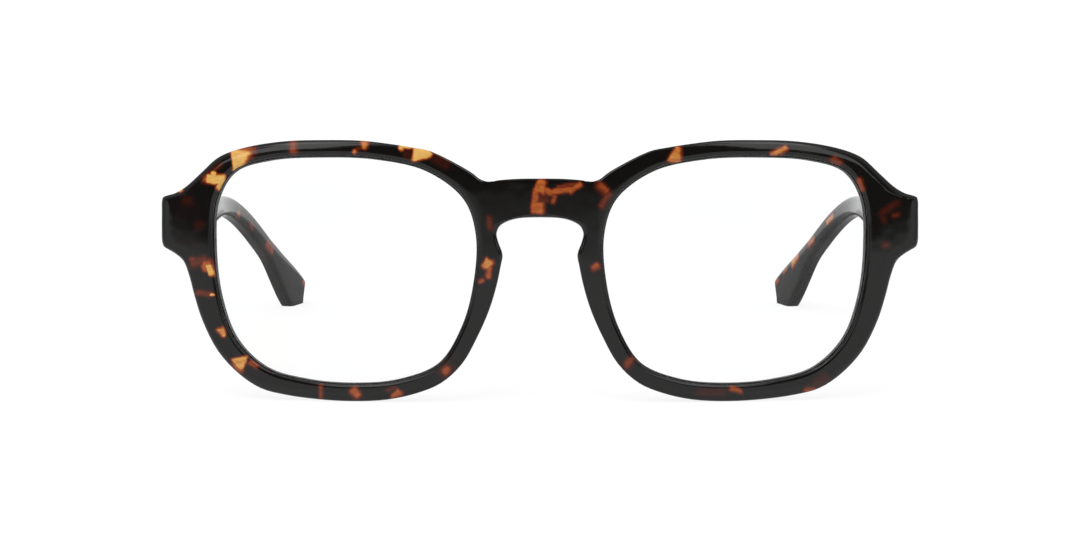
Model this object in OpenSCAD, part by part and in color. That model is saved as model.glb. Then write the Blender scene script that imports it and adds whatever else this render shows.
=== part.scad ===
// Full-rim acetate spectacles: square eyes, a keyhole bridge, built-up nose pads,
// five-barrel hinges and wire-cored temples that hook over the ears.
// X runs across the face, Y from the front to the back, Z up. The spectacles stand
// open, as on a table, on the lower rims and on the temple tips, at Z = 0.

/* [Eyes] */
// Width of each lens opening
eye_w = 50.2; // [46:0.2:54]
// Height of each lens opening
eye_h = 43.2; // [36:0.2:47]
// Least distance between the two lens openings
eye_gap = 23.4; // [20:0.2:27]
// Depth of the groove in the rim
groove_d = 0.5; // [0.4:0.05:0.7]
// Width of the groove at the wall of the opening
groove_w = 1.3; // [1:0.1:1.6]
// Thickness of a lens
lens_t = 2; // [1.6:0.1:2.4]
// Play of a lens in its rim
lens_play = 0.04; // [0.02:0.01:0.08]

/* [Front] */
// Thickness of the acetate front
front_t = 3.8; // [3.4:0.1:4.6]
// Radius that the front is curved to
curve_r = 400; // [300:10:800]
// Angle that the front leans back by
lean = 7.5; // [5:0.1:9]
// Width of the upper rim
rim_top = 3; // [2.8:0.1:4.2]
// Width of the lower rim
rim_low = 3.2; // [2.8:0.05:4.2]
// Width of the rim beside the nose
rim_nose = 4.1; // [3.6:0.1:5]
// Width of the rim below the end piece
rim_side = 4.65; // [4.2:0.05:5.6]
// Rounding of the polished outer edges
edge_r = 0.9; // [0.5:0.1:1.3]
// Rounding at the lens openings
lip_r = 0.35; // [0.2:0.05:0.5]

/* [Bridge] */
// Height of the top of the bridge above the middle of the eyes
bridge_top = 17.2; // [14:0.05:19]
// Height of the bridge from the keyhole to its top
bridge_h = 7.2; // [5:0.1:8.5]
// Half width of the round part of the keyhole
key_r = 8.2; // [7.4:0.1:8.8]
// Half width of the neck of the keyhole
key_neck = 7.1; // [6.2:0.1:7.4]

/* [End pieces] */
// Distance that an end piece stands out from its lens opening
end_out = 10.1; // [9.6:0.1:12]
// Height of the middle of the end pieces above the middle of the eyes
end_v = 9; // [7:0.1:10]
// Height of an end piece
end_h = 10.5; // [9.5:0.1:12]

/* [Nose pads] */
// Length of a nose pad along the rim
pad_l = 15; // [11:0.5:17]
// Distance that a nose pad stands behind the front
pad_d = 5.4; // [4:0.1:6.4]
// Angle that a nose pad splays outward by
pad_splay = 22; // [10:1:30]
// Thickness of the bond under a nose pad
bond = 0.04; // [0.02:0.01:0.1]

/* [Hinges] */
// Radius of a hinge barrel
barrel_r = 1.25; // [1.1:0.05:1.35]
// Height of one of the five barrels
barrel_h = 1.3; // [1.1:0.05:1.5]
// Gap between two barrels
barrel_gap = 0.06; // [0.04:0.01:0.1]
// Radius of the hinge screw
screw_r = 0.7; // [0.6:0.05:0.8]
// Play round the hinge screw
screw_play = 0.04; // [0.02:0.01:0.06]
// Radius of the screw head
head_r = 1.15; // [1:0.05:1.3]
// Height of the screw head
head_h = 0.7; // [0.5:0.05:0.9]
// Thickness of a hinge leaf
leaf_t = 0.9; // [0.7:0.05:1.1]
// Length of the leaf on the front
front_leaf_l = 3.5; // [3:0.1:3.8]
// Length of the leaf on the temple
temple_leaf_l = 9.4; // [7:0.1:12]
// Play of a leaf in its pocket
leaf_play = 0.03; // [0.02:0.01:0.06]
// Depth of the pegs that anchor a leaf
peg_l = 1; // [0.6:0.1:1.3]
// Gap between the temple and the end piece it butts on
butt_gap = 0.12; // [0.08:0.01:0.3]
// Depth of the flat milled for the temple on the end piece
seat_d = 0.45; // [0.4:0.05:0.7]

/* [Temples] */
// Length of a temple from its hinge pin to its tip
temple_l = 130.5; // [122:0.5:142]
// Distance from the hinge pin to the middle of the ear bend
bend_at = 86; // [78:0.5:94]
// Length of the ear bend
bend_l = 40; // [30:0.5:44]
// Slope of the straight part of a temple down to the back
temple_slope = 3.7; // [2.5:0.1:4.5]
// Inward turn of the part behind the ear
toe_in = 18; // [8:0.5:22]
// Distance from the hinge pin to where a temple begins to turn inward
toe_at = 59; // [50:0.5:66]
// Thickness of a temple at the hinge
temple_t = 4; // [3.6:0.1:4.6]
// Thickness of a temple behind the ear
tip_t = 3.4; // [3:0.1:4]
// Height of a temple at the bend
bend_h = 4.2; // [3.8:0.1:6]
// Distance from the hinge pin to where a temple begins to flare
flare_at = 106; // [98:0.5:112]
// Height of a temple at its flared tip
tip_h = 8.8; // [7:0.1:11]
// Rounding of the temple edges
temple_r = 0.9; // [0.5:0.1:1.2]
// Radius of the wire core
wire_r = 0.7; // [0.5:0.05:0.8]
// Play of the wire core in its channel
wire_play = 0.05; // [0.03:0.01:0.1]
// Distance from the wire core to the tip of the temple
wire_end = 14; // [10:0.5:24]

/* [Stance] */
// Depth of the flats that the rims rest on
foot_cut = 0.12; // [0.05:0.01:0.3]
// Depth of the flats that the temple tips rest on
tip_cut = 0.7; // [0.2:0.05:1.2]

/* [Hidden] */
SIDES = [-1, 1];
LEFT = -1;
RIGHT = 1;
$fn = 32;

// Overlap of solids that are one piece, and the side of a block larger than the whole
bite = 0.01;
big = 3 * temple_l;

function mix(a, b, f) = a + (b - a) * f;

// Plan of the front, u outward from the middle and v up from the middle of the eyes
eye_u = (eye_gap + eye_w) / 2;
end_u = eye_u + eye_w / 2 + end_out;
groove_w0 = front_t * 0.45;
lens_w0 = groove_w0 - lens_t / 2;

// Outline of an opening as shares of its half width and half height, from the top
// outward and down, back along the nose
eye_shape = [
    [0.18, 1.00], [0.57, 0.975], [0.845, 0.875], [0.975, 0.635], [1.00, 0.235],
    [0.955, -0.23], [0.832, -0.61], [0.603, -0.863], [0.30, -0.965], [-0.05, -1.00],
    [-0.405, -0.965], [-0.71, -0.82], [-0.885, -0.50], [-0.975, -0.115], [-0.992, 0.31],
    [-0.90, 0.62], [-0.615, 0.873], [-0.225, 0.98]
];
turns = len(eye_shape);

// Curve through points, with tangents that suit uneven spacing
function blend4(a, b, c, d, f) =
    let (
        k1 = sqrt(norm(b - a)),
        k2 = sqrt(norm(c - b)),
        k3 = sqrt(norm(d - c)),
        m1 = ((b - a) / k1 - (c - a) / (k1 + k2) + (c - b) / k2) * k2,
        m2 = ((c - b) / k2 - (d - b) / (k2 + k3) + (d - c) / k3) * k2,
        f2 = f * f,
        f3 = f2 * f
    )
    b * (2 * f3 - 3 * f2 + 1) + m1 * (f3 - 2 * f2 + f) + c * (3 * f2 - 2 * f3) + m2 * (f3 - f2);

function eye_key(i) =
    let (k = ((i % turns) + turns) % turns)
    [eye_u + eye_shape[k].x * eye_w / 2, eye_shape[k].y * eye_h / 2];

// Point of an opening at a place t, counted in control points
function eye_at(t) =
    let (i = floor(t))
    blend4(eye_key(i - 1), eye_key(i), eye_key(i + 1), eye_key(i + 2), t - i);

// Unit vector out of an opening at a place t
function eye_out(t) =
    let (d = eye_at(t + 0.02) - eye_at(t - 0.02))
    [-d.y, d.x] / norm(d);

function rim_at(t, width) = eye_at(t) + eye_out(t) * width;

// Outer outline of half the front: the place of the opening that each point faces, and the
// point, from the top of the bridge outward, round the end piece and back to the keyhole
half_gap = eye_gap / 2;
end_top = end_v + end_h / 2;
end_low = end_v - end_h / 2;
key_top = bridge_top - bridge_h;
outline = [
    [14.90, [0, bridge_top]],
    [15.12, [0.36 * half_gap, bridge_top - 0.007 * bridge_h]],
    [15.32, [0.675 * half_gap, bridge_top - 0.045 * bridge_h]],
    [15.47, [0.80 * half_gap, bridge_top - 0.085 * bridge_h]],
    [15.62, [0.95 * half_gap, bridge_top - 0.025 * bridge_h]],
    [15.82, [1.13 * half_gap, bridge_top + 0.19 * bridge_h]],
    [16.06, rim_at(16.06, rim_top * 1.17)],
    [16.35, rim_at(16.35, rim_top * 1.05)],
    [16.80, rim_at(16.80, rim_top)],
    [17.30, rim_at(17.30, rim_top)],
    [18.00, rim_at(18.00, rim_top)],
    [18.60, rim_at(18.60, rim_top)],
    [19.10, rim_at(19.10, rim_top * 1.02)],
    [19.55, rim_at(19.55, rim_top * 1.05)],
    [19.90, rim_at(19.90, rim_top * 1.17)],
    [20.15, rim_at(20.15, rim_top * 1.33)],
    [20.45, [end_u - 0.75 * end_out, end_top + 0.4 * end_h]],
    [20.65, [end_u - 0.455 * end_out, end_top + 0.148 * end_h]],
    [20.80, [end_u - 0.257 * end_out, end_top + 0.038 * end_h]],
    [20.95, [end_u - 0.1 * end_out, end_top - 0.005 * end_h]],
    [21.10, [end_u - 0.03 * end_out, end_top - 0.033 * end_h]],
    [21.22, [end_u - 0.003 * end_out, end_top - 0.105 * end_h]],
    [21.40, [end_u, end_top - 0.305 * end_h]],
    [21.65, [end_u, end_low + 0.365 * end_h]],
    [21.80, [end_u - 0.01 * end_out, end_low + 0.152 * end_h]],
    [21.92, [end_u - 0.045 * end_out, end_low + 0.067 * end_h]],
    [22.03, [end_u - 0.14 * end_out, end_low + 0.01 * end_h]],
    [22.14, [end_u - 0.257 * end_out, end_low - 0.057 * end_h]],
    [22.30, [end_u - 0.416 * end_out, end_low - 0.19 * end_h]],
    [22.55, rim_at(22.55, rim_side * 1.11)],
    [22.90, rim_at(22.90, rim_side * 1.02)],
    [23.40, rim_at(23.40, rim_side * 0.95)],
    [24.00, rim_at(24.00, rim_side * 0.88)],
    [24.60, rim_at(24.60, rim_side * 0.84)],
    [25.10, rim_at(25.10, rim_low * 1.19)],
    [25.60, rim_at(25.60, rim_low * 1.09)],
    [26.30, rim_at(26.30, rim_low * 1.01)],
    [27.00, rim_at(27.00, rim_low)],
    [27.70, rim_at(27.70, rim_low)],
    [28.30, rim_at(28.30, rim_low)],
    [28.80, rim_at(28.80, rim_low * 0.99)],
    [29.30, rim_at(29.30, rim_low * 0.99)],
    [29.90, rim_at(29.90, rim_low * 1.01)],
    [30.50, rim_at(30.50, rim_nose * 0.89)],
    [31.00, rim_at(31.00, rim_nose)],
    [31.36, [key_neck * 1.05, key_top - 1.13 * key_r]],
    [31.58, [key_neck, key_top - 0.85 * key_r]],
    [31.78, [mix(key_neck, key_r, 0.68), key_top - 0.585 * key_r]],
    [31.95, [key_r, key_top - 0.38 * key_r]],
    [32.06, [0.94 * key_r, key_top - 0.213 * key_r]],
    [32.16, [0.78 * key_r, key_top - 0.104 * key_r]],
    [32.28, [0.51 * key_r, key_top - 0.025 * key_r]],
    [32.44, [0, key_top]]
];
rows = len(outline);
join_rows = 3;

function mirrored(p) = [-p.x, p.y];
function outline_key(i) =
    i < 0 ? mirrored(outline[-i][1]) :
    i >= rows ? mirrored(outline[2 * rows - 2 - i][1]) : outline[i][1];
function outline_at(q) =
    let (i = min(floor(q), rows - 2))
    blend4(outline_key(i - 1), outline_key(i), outline_key(i + 1), outline_key(i + 2), q - i);
function outline_out(q) =
    q <= 0 ? [0, 1] :
    q >= rows - 1 ? [0, -1] :
    let (d = outline_at(q + 0.03) - outline_at(q - 0.03)) [-d.y, d.x] / norm(d);

// Stations round half the front: place on the opening, outer point, outward vector
steps = 2;
rim_stations = [
    for (k = [0 : (rows - 1) * steps])
        let (q = k / steps, i = min(floor(q), rows - 2), f = q - i)
        [
            outline[i][0] + (outline[i + 1][0] - outline[i][0]) * f,
            outline_at(q),
            outline_out(q)
        ]
];
join_stations = [
    for (k = [1 : join_rows])
        let (f = k / (join_rows + 1))
        [
            outline[rows - 1][0] + (outline[0][0] + turns - outline[rows - 1][0]) * f,
            [0, key_top + edge_r + (bridge_h - 2 * edge_r) * f],
            [0, 0]
        ]
];
stations = concat(rim_stations, join_stations);
rim_count = len(rim_stations);

// Place on the curved sheet: u and v on its front face, w deep into it
function sheet(p, w) =
    let (sag = curve_r - sqrt(curve_r * curve_r - p * p), k = 1 - w / curve_r)
    [p.x * k, sag + w * (1 - sag / curve_r), p.y * k];

// Rounded section of the front, from the front edge at the outside round the back
// to the opening: which edge it hangs on, distance into the rim, depth
arc_steps = 2;
outer_arc = [
    for (k = [0 : arc_steps]) let (a = 90 * k / arc_steps) [edge_r * (1 - sin(a)), edge_r * (1 - cos(a))]
];
section = concat(
    [for (p = outer_arc) [0, p.x, p.y]],
    [for (k = [arc_steps : -1 : 0]) [0, outer_arc[k].x, front_t - outer_arc[k].y]],
    [
        [1, lip_r, front_t],
        [1, 0, front_t - lip_r],
        [1, 0, groove_w0 + groove_w / 2],
        [1, groove_d, groove_w0],
        [1, 0, groove_w0 - groove_w / 2],
        [1, 0, lip_r],
        [1, lip_r, 0]
    ]
);
points = len(section);
outer_points = 2 * (arc_steps + 1);

function section_point(s, j) =
    section[j][0] == 1 ?
        sheet(eye_at(s[0]) + eye_out(s[0]) * section[j][1], section[j][2]) :
        sheet(s[1] - s[2] * section[j][1], section[j][2]);

half_front = [for (s = stations) for (j = [0 : points - 1]) section_point(s, j)];
half_points = len(half_front);

// Number of a point: the points on the middle plane are shared by both halves
function front_index(side, i, j) =
    let (k = (i % len(stations)) * points + j % points)
    side == RIGHT || abs(half_front[k].x) < 1e-6 ? k : half_points + k;

// The strip along the middle plane, where the halves meet, has no wall
function has_wall(i, j) = i < rim_count - 1 || j >= outer_points - 1;

module front_sheet() {
    faces = [
        for (side = SIDES)
            for (i = [0 : len(stations) - 1])
                for (j = [0 : points - 1])
                    if (has_wall(i, j))
                        let (
                            a = front_index(side, i, j),
                            b = front_index(side, i, j + 1),
                            c = front_index(side, i + 1, j + 1),
                            d = front_index(side, i + 1, j)
                        )
                        each side == RIGHT ? [[a, b, c], [a, c, d]] : [[c, b, a], [d, c, a]]
    ];
    polyhedron(points = concat(half_front, [for (p = half_front) [-p.x, p.y, p.z]]), faces = faces);
}

// Stance: the lowest edge of the front reaches foot_cut below the table and is cut flat there
function leaned_y(p) = p.y * cos(lean) + p.z * sin(lean);
function leaned_z(p) = p.z * cos(lean) - p.y * sin(lean);
front_z = -foot_cut - min([for (p = half_front) leaned_z(p)]);

// Hinge pin, one barrel radius and a little behind the flat of the end piece
axis_off = barrel_r * 1.08;
pin_u = end_u * (1 - front_t / curve_r) - temple_t - axis_off;
mitre = asin(pin_u / curve_r);
pin = sheet([pin_u, end_v], front_t - seat_d) + [-sin(mitre), cos(mitre), 0] * axis_off;
pin_z = front_z + leaned_z(pin);
stack_h = 5 * barrel_h;

// Line of the right temple from its pin: straight, then down and inward round the ear
function ease(x) = let (c = min(max(x, 0), 1)) c * c * (3 - 2 * c);
function fall_at(s, drop) = mix(temple_slope, drop, ease((s - bend_at) / bend_l + 0.5));
function toe_at_s(s) = toe_in * ease((s - toe_at) / (bend_at + bend_l / 2 - toe_at));

// Fall behind the ear that brings the rounded tip down to the table
tip_r = tip_h * 0.25;
fall_steps = 32;
function fallen(drop) =
    let (ds = (temple_l - tip_r) / fall_steps, v = [for (k = [1 : fall_steps]) sin(fall_at((k - 0.5) * ds, drop))])
    ds * (v * [for (k = [1 : fall_steps]) 1]);
function fall_left(drop) = pin_z + tip_cut - tip_r - (tip_h / 2 - tip_r) * cos(drop) - fallen(drop);
function better(drop) = drop + fall_left(drop) / ((temple_l - bend_at) * cos(drop)) * 180 / PI;
drop = better(better(better(35)));

function heading(s) =
    let (e = fall_at(s, drop), t = toe_at_s(s))
    [-sin(t) * cos(e), cos(t) * cos(e), -sin(e)];

// Places along the temple: close together where it bends, and round its tip
first_s = end_h / 2;
tip_steps = 4;
places = concat(
    [for (k = [0 : 4]) mix(first_s, bend_at - bend_l / 2, k / 5)],
    [for (k = [0 : 17]) mix(bend_at - bend_l / 2, bend_at + bend_l / 2, k / 18)],
    [for (k = [0 : 4]) mix(bend_at + bend_l / 2, temple_l - tip_r, k / 5)],
    [for (k = [0 : tip_steps]) temple_l - tip_r + tip_r * sin(90 * k / tip_steps)]
);
last_place = len(places) - 1;
function gap_to(k) = places[min(k + 1, last_place)] - places[k];
temple_in = [axis_off + temple_t / 2, 0, 0];
line = [
    for (
        k = 0, p = temple_in + heading(0) * first_s;
        k <= last_place;
        p = p + heading(places[k] + gap_to(k) / 2) * gap_to(k),
        k = k + 1
    ) p
];

// Height and thickness of the temple at s, from its head, a little lower than the end piece
head_high = end_h * 0.99;
function temple_high(s) =
    s > temple_l - tip_r ?
        tip_h - 2 * tip_r + 2 * sqrt(max(tip_r * tip_r - pow(s - temple_l + tip_r, 2), 0)) :
    s > flare_at ?
        mix(bend_h, tip_h, ease((s - flare_at) / (temple_l - tip_r - flare_at))) :
        mix(head_high, bend_h, ease((s - first_s) / (bend_at - 3 * first_s)));
function temple_thick(s) = mix(temple_t, tip_t, ease((s - 2 * first_s) / (bend_at - 2 * first_s)));

// Corners of a rounded rectangle, and as many points of a round rod
round_steps = 2;
function rounded(w, h, r) = [
    for (c = [0 : 3])
        for (j = [0 : round_steps])
            let (a = 90 * (c + j / round_steps), sx = c == 0 || c == 3 ? 1 : -1, sy = c < 2 ? 1 : -1)
            [sx * (w / 2 - r) + r * cos(a), sy * (h / 2 - r) + r * sin(a)]
];
rod_points = 4 * (round_steps + 1);
function rod(r) = [for (j = [0 : rod_points - 1]) let (a = 360 * j / rod_points) r * [cos(a), sin(a)]];

// A flat outline placed square to the temple at place k
function placed(k, flat) =
    let (d = heading(places[k]), side = cross(d, [0, 0, 1]) / norm(cross(d, [0, 0, 1])), up = cross(side, d))
    [for (q = flat) line[k] + side * q.x + up * q.y];

// The same, on the mitre that butts on the end piece, a gap behind its flat
function on_mitre(gap, flat) = [
    for (q = flat)
        let (x = temple_in.x + q.x, y = (gap - axis_off + x * sin(mitre)) / cos(mitre))
        [x, y * cos(temple_slope) + q.y * sin(temple_slope), q.y * cos(temple_slope) - y * sin(temple_slope)]
];

temple_rings = concat(
    [on_mitre(butt_gap, rounded(temple_t, head_high, temple_r))],
    [
        for (k = [0 : last_place])
            placed(k, rounded(temple_thick(places[k]), temple_high(places[k]), temple_r))
    ]
);
wire_last = max([for (k = [0 : last_place]) places[k] <= temple_l - wire_end ? k : 0]);

// A rod along the temple, from a gap behind the mitre to place last
function rod_rings(r, gap, last) = concat([on_mitre(gap, rod(r))], [for (k = [0 : last]) placed(k, rod(r))]);

// Walls between rings of n points, numbered from point o on
function walls(o, n, m) = [
    for (i = [0 : m - 2])
        for (j = [0 : n - 1])
            let (a = o + i * n + j, b = o + i * n + (j + 1) % n)
            each [[a, b + n, a + n], [a, b, b + n]]
];
function cap(o, n) = [for (j = [0 : n - 1]) o + j];
function flipped(faces) = [for (f = faces) [for (k = [len(f) - 1 : -1 : 0]) f[k]]];

// A closed skin over rings with equal numbers of points
module skin(rings) {
    n = len(rings[0]);
    m = len(rings);
    ends = concat(flipped([cap(0, n)]), [cap((m - 1) * n, n)]);
    polyhedron(points = [for (r = rings) each r], faces = concat(walls(0, n, m), ends));
}

// The same, with a blind bore over a second set of rings that starts in the first ring
module bored_skin(rings, bore) {
    n = len(rings[0]);
    m = len(rings);
    o = m * n;
    mouth = [
        for (j = [0 : n - 1])
            let (k = (j + 1) % n)
            each [[j, o + k, k], [j, o + j, o + k]]
    ];
    faces = concat(
        walls(0, n, m),
        [cap((m - 1) * n, n)],
        flipped(walls(o, n, len(bore))),
        flipped([cap(o + (len(bore) - 1) * n, n)]),
        mouth
    );
    polyhedron(points = concat([for (r = rings) each r], [for (r = bore) each r]), faces = faces);
}

// The whole is centred from the front's foremost edge to the tips
low_y = min([for (p = half_front) leaned_y(p)]);
far_y = leaned_y(pin) + max([for (r = temple_rings) for (p = r) p.y]);
front_y = -(low_y + far_y) / 2;
pin_y = front_y + leaned_y(pin);

module on_front() {
    translate([0, front_y, front_z])
        rotate([-lean, 0, 0])
            children();
}

module on_side(side) {
    mirror([side == LEFT ? 1 : 0, 0, 0])
        children();
}

// Frame of the right hinge: Z along the pin, Y along the temple
module at_pin() {
    translate([pin.x, pin_y, pin_z])
        rotate([-temple_slope, 0, 0])
            children();
}

// The same, turned to the flat of the end piece, with Y = 0 on the flat
module at_seat() {
    at_pin()
        rotate([0, 0, mitre])
            translate([0, -axis_off, 0])
                children();
}

module on_temple() {
    translate([pin.x, pin_y, pin_z])
        children();
}

module below_table() {
    translate([-big / 2, -big / 2, -big])
        cube([big, big, big]);
}

// Acetate front: the curved sheet, milled flat behind its end pieces for the temples, with
// pockets for the hinge leaves and the pegs that anchor them
peg_r = leaf_t * 0.67;
module front_pegs(play) {
    for (z = [-1, 1])
        translate([-front_leaf_l * 0.63, bite - leaf_t, z * stack_h * 0.3])
            rotate([90, 0, 0])
                cylinder(r = peg_r + play, h = peg_l + play);
}

module hinge_seat() {
    seat_in = front_leaf_l + peg_r;
    seat_h = end_h * 1.08;
    translate([-seat_in, 0, -seat_h / 2])
        cube([seat_in + 2 * temple_t, 1.5 * temple_t, seat_h]);
    translate([-front_leaf_l - leaf_play, -leaf_t - leaf_play, -stack_h / 2 - leaf_play])
        cube([front_leaf_l + axis_off + 2 * leaf_play, 2 * leaf_t, stack_h + 2 * leaf_play]);
    front_pegs(leaf_play);
}

module front() {
    color([0.13, 0.08, 0.05])
        difference() {
            on_front()
                front_sheet();
            for (side = SIDES)
                on_side(side)
                    at_seat()
                        hinge_seat();
            below_table();
        }
}

// Lenses: an edge bevelled into the groove, and two faces that follow the front's curve
lens_in = 0.12 * groove_d;
lens_bevel = 0.42 * groove_w;
lens_edge = [
    [-lens_in, lens_w0 + lens_t],
    [-lens_in, groove_w0 + lens_bevel],
    [0.92 * groove_d, groove_w0],
    [-lens_in, groove_w0 - lens_bevel],
    [-lens_in, lens_w0]
];
lens_shares = [0.12, 0.55];
function lens_ring(out, w, share) = [
    for (s = stations)
        let (p = eye_at(s[0]) + eye_out(s[0]) * (out - lens_play))
        sheet([eye_u, 0] + (p - [eye_u, 0]) * share, w)
];
lens_rings = concat(
    [for (k = [0, 1]) lens_ring(lens_edge[0].x, lens_w0 + lens_t, lens_shares[k])],
    [for (e = lens_edge) lens_ring(e.x, e.y, 1)],
    [for (k = [1, 0]) lens_ring(lens_edge[4].x, lens_w0, lens_shares[k])]
);

module lens(side) {
    color([0.86, 0.9, 0.92, 0.35])
        on_side(side)
            on_front()
                skin(lens_rings);
}

// Nose pads, bonded behind the rims beside the nose
pad_mid = 30.6;
pad_steps = 8;
pad_half = pad_l / 2 / (norm(eye_key(31) - eye_key(30)));
outline_rows = [for (i = [0 : rows - 1]) [outline[i][0], i]];
function pad_ring(k) =
    let (
        f = k / pad_steps,
        t = pad_mid + pad_half * (2 * f - 1),
        q = lookup(t, outline_rows),
        a = outline_at(q) - outline_out(q) * edge_r * 1.1,
        b = eye_at(t) + eye_out(t) * lip_r * 1.7,
        w = norm(b - a),
        d = pad_d * mix(0.045, 1, pow(sin(180 * (0.04 + 0.92 * f)), 0.8)),
        o = d * tan(pad_splay),
        n = pad_d * 0.055,
        flat = [
            [0, 0], [o * 0.22, d * 0.4], [o * 0.7, d * 0.85], [o + n, d],
            [o + 3 * n, d * 0.9], [mix(o + 4 * n, w, 0.3), d * 0.55], [w * 0.97, d * 0.18], [w, 0]
        ]
    )
    [for (g = flat) sheet(a + (b - a) / w * g.x, front_t + bond + g.y)];

module nose_pad(side) {
    color([0.2, 0.1, 0.06])
        on_side(side)
            on_front()
                skin([for (k = [0 : pad_steps]) pad_ring(k)]);
}

// Hinges: three barrels on the front and two on the temple
module barrel(slot) {
    translate([0, 0, (slot - 2.5) * barrel_h + barrel_gap / 2])
        cylinder(r = barrel_r, h = barrel_h - barrel_gap);
}

module web(slot, x, y, w, d) {
    translate([x, y, (slot - 2.5) * barrel_h + barrel_gap / 2])
        cube([w, d, barrel_h - barrel_gap]);
}

module pin_bore() {
    translate([0, 0, -stack_h])
        cylinder(r = screw_r + screw_play, h = 2 * stack_h);
}

module front_hinge(side) {
    color([0.75, 0.74, 0.7])
        on_side(side)
            difference() {
                union() {
                    at_seat() {
                        translate([-front_leaf_l, -leaf_t, -stack_h / 2])
                            cube([front_leaf_l + axis_off, leaf_t, stack_h]);
                        front_pegs(0);
                        for (slot = [0, 2, 4])
                            web(slot, -barrel_r, -leaf_t / 2, barrel_r + leaf_t, leaf_t / 2 + axis_off);
                    }
                    at_pin()
                        for (slot = [0, 2, 4])
                            barrel(slot);
                }
                at_pin()
                    pin_bore();
            }
}

temple_leaf_h = stack_h * 0.92;
module temple_pegs(play) {
    for (y = [0.5, 0.85])
        translate([axis_off + leaf_t - bite, y * temple_leaf_l, 0])
            for (z = [-1, 1])
                translate([0, 0, z * temple_leaf_h * 0.33])
                    rotate([0, 90, 0])
                        cylinder(r = peg_r + play, h = peg_l + play);
}

module temple_hinge(side) {
    leaf_y = -barrel_r / 2;
    color([0.75, 0.74, 0.7])
        on_side(side)
            at_pin()
                difference() {
                    union() {
                        translate([axis_off, leaf_y, -temple_leaf_h / 2])
                            cube([leaf_t, temple_leaf_l - leaf_y, temple_leaf_h]);
                        temple_pegs(0);
                        for (slot = [1, 3]) {
                            web(slot, 0, leaf_y, axis_off + leaf_t / 2, barrel_r - leaf_y);
                            barrel(slot);
                        }
                    }
                    pin_bore();
                }
}

module hinge_screw(side) {
    slot_w = head_r * 0.3;
    color([0.7, 0.69, 0.66])
        on_side(side)
            at_pin()
                difference() {
                    union() {
                        translate([0, 0, -stack_h / 2])
                            cylinder(r = screw_r, h = stack_h + head_h / 2);
                        translate([0, 0, stack_h / 2 + screw_play])
                            cylinder(r = head_r, h = head_h);
                    }
                    translate([-2 * head_r, -slot_w / 2, stack_h / 2 + head_h * 0.55])
                        cube([4 * head_r, slot_w, head_h]);
                }
}

// Temples and the wires in them
module temple_leaf_pocket() {
    translate([0, -barrel_r / 2 - leaf_play, -temple_leaf_h / 2 - leaf_play])
        cube([
            axis_off + leaf_t + leaf_play,
            temple_leaf_l + barrel_r / 2 + 2 * leaf_play,
            temple_leaf_h + 2 * leaf_play
        ]);
    temple_pegs(leaf_play);
}

module temple(side) {
    color([0.13, 0.08, 0.05])
        difference() {
            on_side(side)
                difference() {
                    on_temple()
                        bored_skin(temple_rings, rod_rings(wire_r + wire_play, butt_gap, wire_last));
                    at_pin()
                        temple_leaf_pocket();
                }
            below_table();
        }
}

module core_wire(side) {
    color([0.8, 0.79, 0.75])
        on_side(side)
            on_temple()
                skin(rod_rings(wire_r, 4 * butt_gap, wire_last - 1));
}

front();
lens(LEFT);  // lens_left
lens(RIGHT);  // lens_right
nose_pad(LEFT);  // nose_pad_left
nose_pad(RIGHT);  // nose_pad_right
front_hinge(LEFT);  // front_hinge_left
front_hinge(RIGHT);  // front_hinge_right
temple_hinge(LEFT);  // temple_hinge_left
temple_hinge(RIGHT);  // temple_hinge_right
hinge_screw(LEFT);  // hinge_screw_left
hinge_screw(RIGHT);  // hinge_screw_right
temple(LEFT);  // temple_left
temple(RIGHT);  // temple_right
core_wire(LEFT);  // core_wire_left
core_wire(RIGHT);  // core_wire_right
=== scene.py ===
# Square tortoiseshell spectacles, standing open on a pale table.
# The acetate, the pads and the lenses are made again here, finer than the frame's own.
# The pieces' sizes are millimetres and degrees. Those of the table, the lamps and the camera's clipping are metres.
from math import cos, pi, radians, sin, sqrt, tan
import bmesh
import bpy
from mathutils import Matrix, Vector


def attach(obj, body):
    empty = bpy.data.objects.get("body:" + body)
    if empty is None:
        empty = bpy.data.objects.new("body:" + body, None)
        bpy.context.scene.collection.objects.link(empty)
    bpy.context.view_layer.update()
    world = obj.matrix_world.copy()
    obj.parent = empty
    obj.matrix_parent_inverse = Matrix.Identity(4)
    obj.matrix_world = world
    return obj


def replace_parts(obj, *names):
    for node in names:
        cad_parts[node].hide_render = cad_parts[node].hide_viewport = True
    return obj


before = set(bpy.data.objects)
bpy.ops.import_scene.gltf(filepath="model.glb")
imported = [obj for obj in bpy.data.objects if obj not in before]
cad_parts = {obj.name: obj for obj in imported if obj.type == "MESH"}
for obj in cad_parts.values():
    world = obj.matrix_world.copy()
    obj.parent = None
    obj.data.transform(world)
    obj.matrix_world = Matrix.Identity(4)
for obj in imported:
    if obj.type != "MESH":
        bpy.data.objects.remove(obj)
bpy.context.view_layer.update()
scene = bpy.context.scene
sides = {"left": -1, "right": 1}
print("frame loaded:", len(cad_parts), "nodes")


def mix(a, b, f):
    return a + (b - a) * f


def ease(x):
    x = min(max(x, 0.0), 1.0)
    return x * x * (3 - 2 * x)


def throughPoints(a, b, c, d, f):
    # smooth curve from b to c, with tangents that suit uneven spacing
    k1, k2, k3 = sqrt((b - a).length), sqrt((c - b).length), sqrt((d - c).length)
    m1 = ((b - a) / k1 - (c - a) / (k1 + k2) + (c - b) / k2) * k2
    m2 = ((c - b) / k2 - (d - b) / (k2 + k3) + (d - c) / k3) * k2
    f2, f3 = f * f, f * f * f
    return b * (2 * f3 - 3 * f2 + 1) + m1 * (f3 - 2 * f2 + f) + c * (3 * f2 - 2 * f3) + m2 * (f3 - f2)


def firstRing(bm, points):
    ring = bmesh.ops.create_circle(bm, segments=len(points), radius=1)["verts"]
    for v, p in zip(ring, points):
        v.co = p
    return ring


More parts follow.
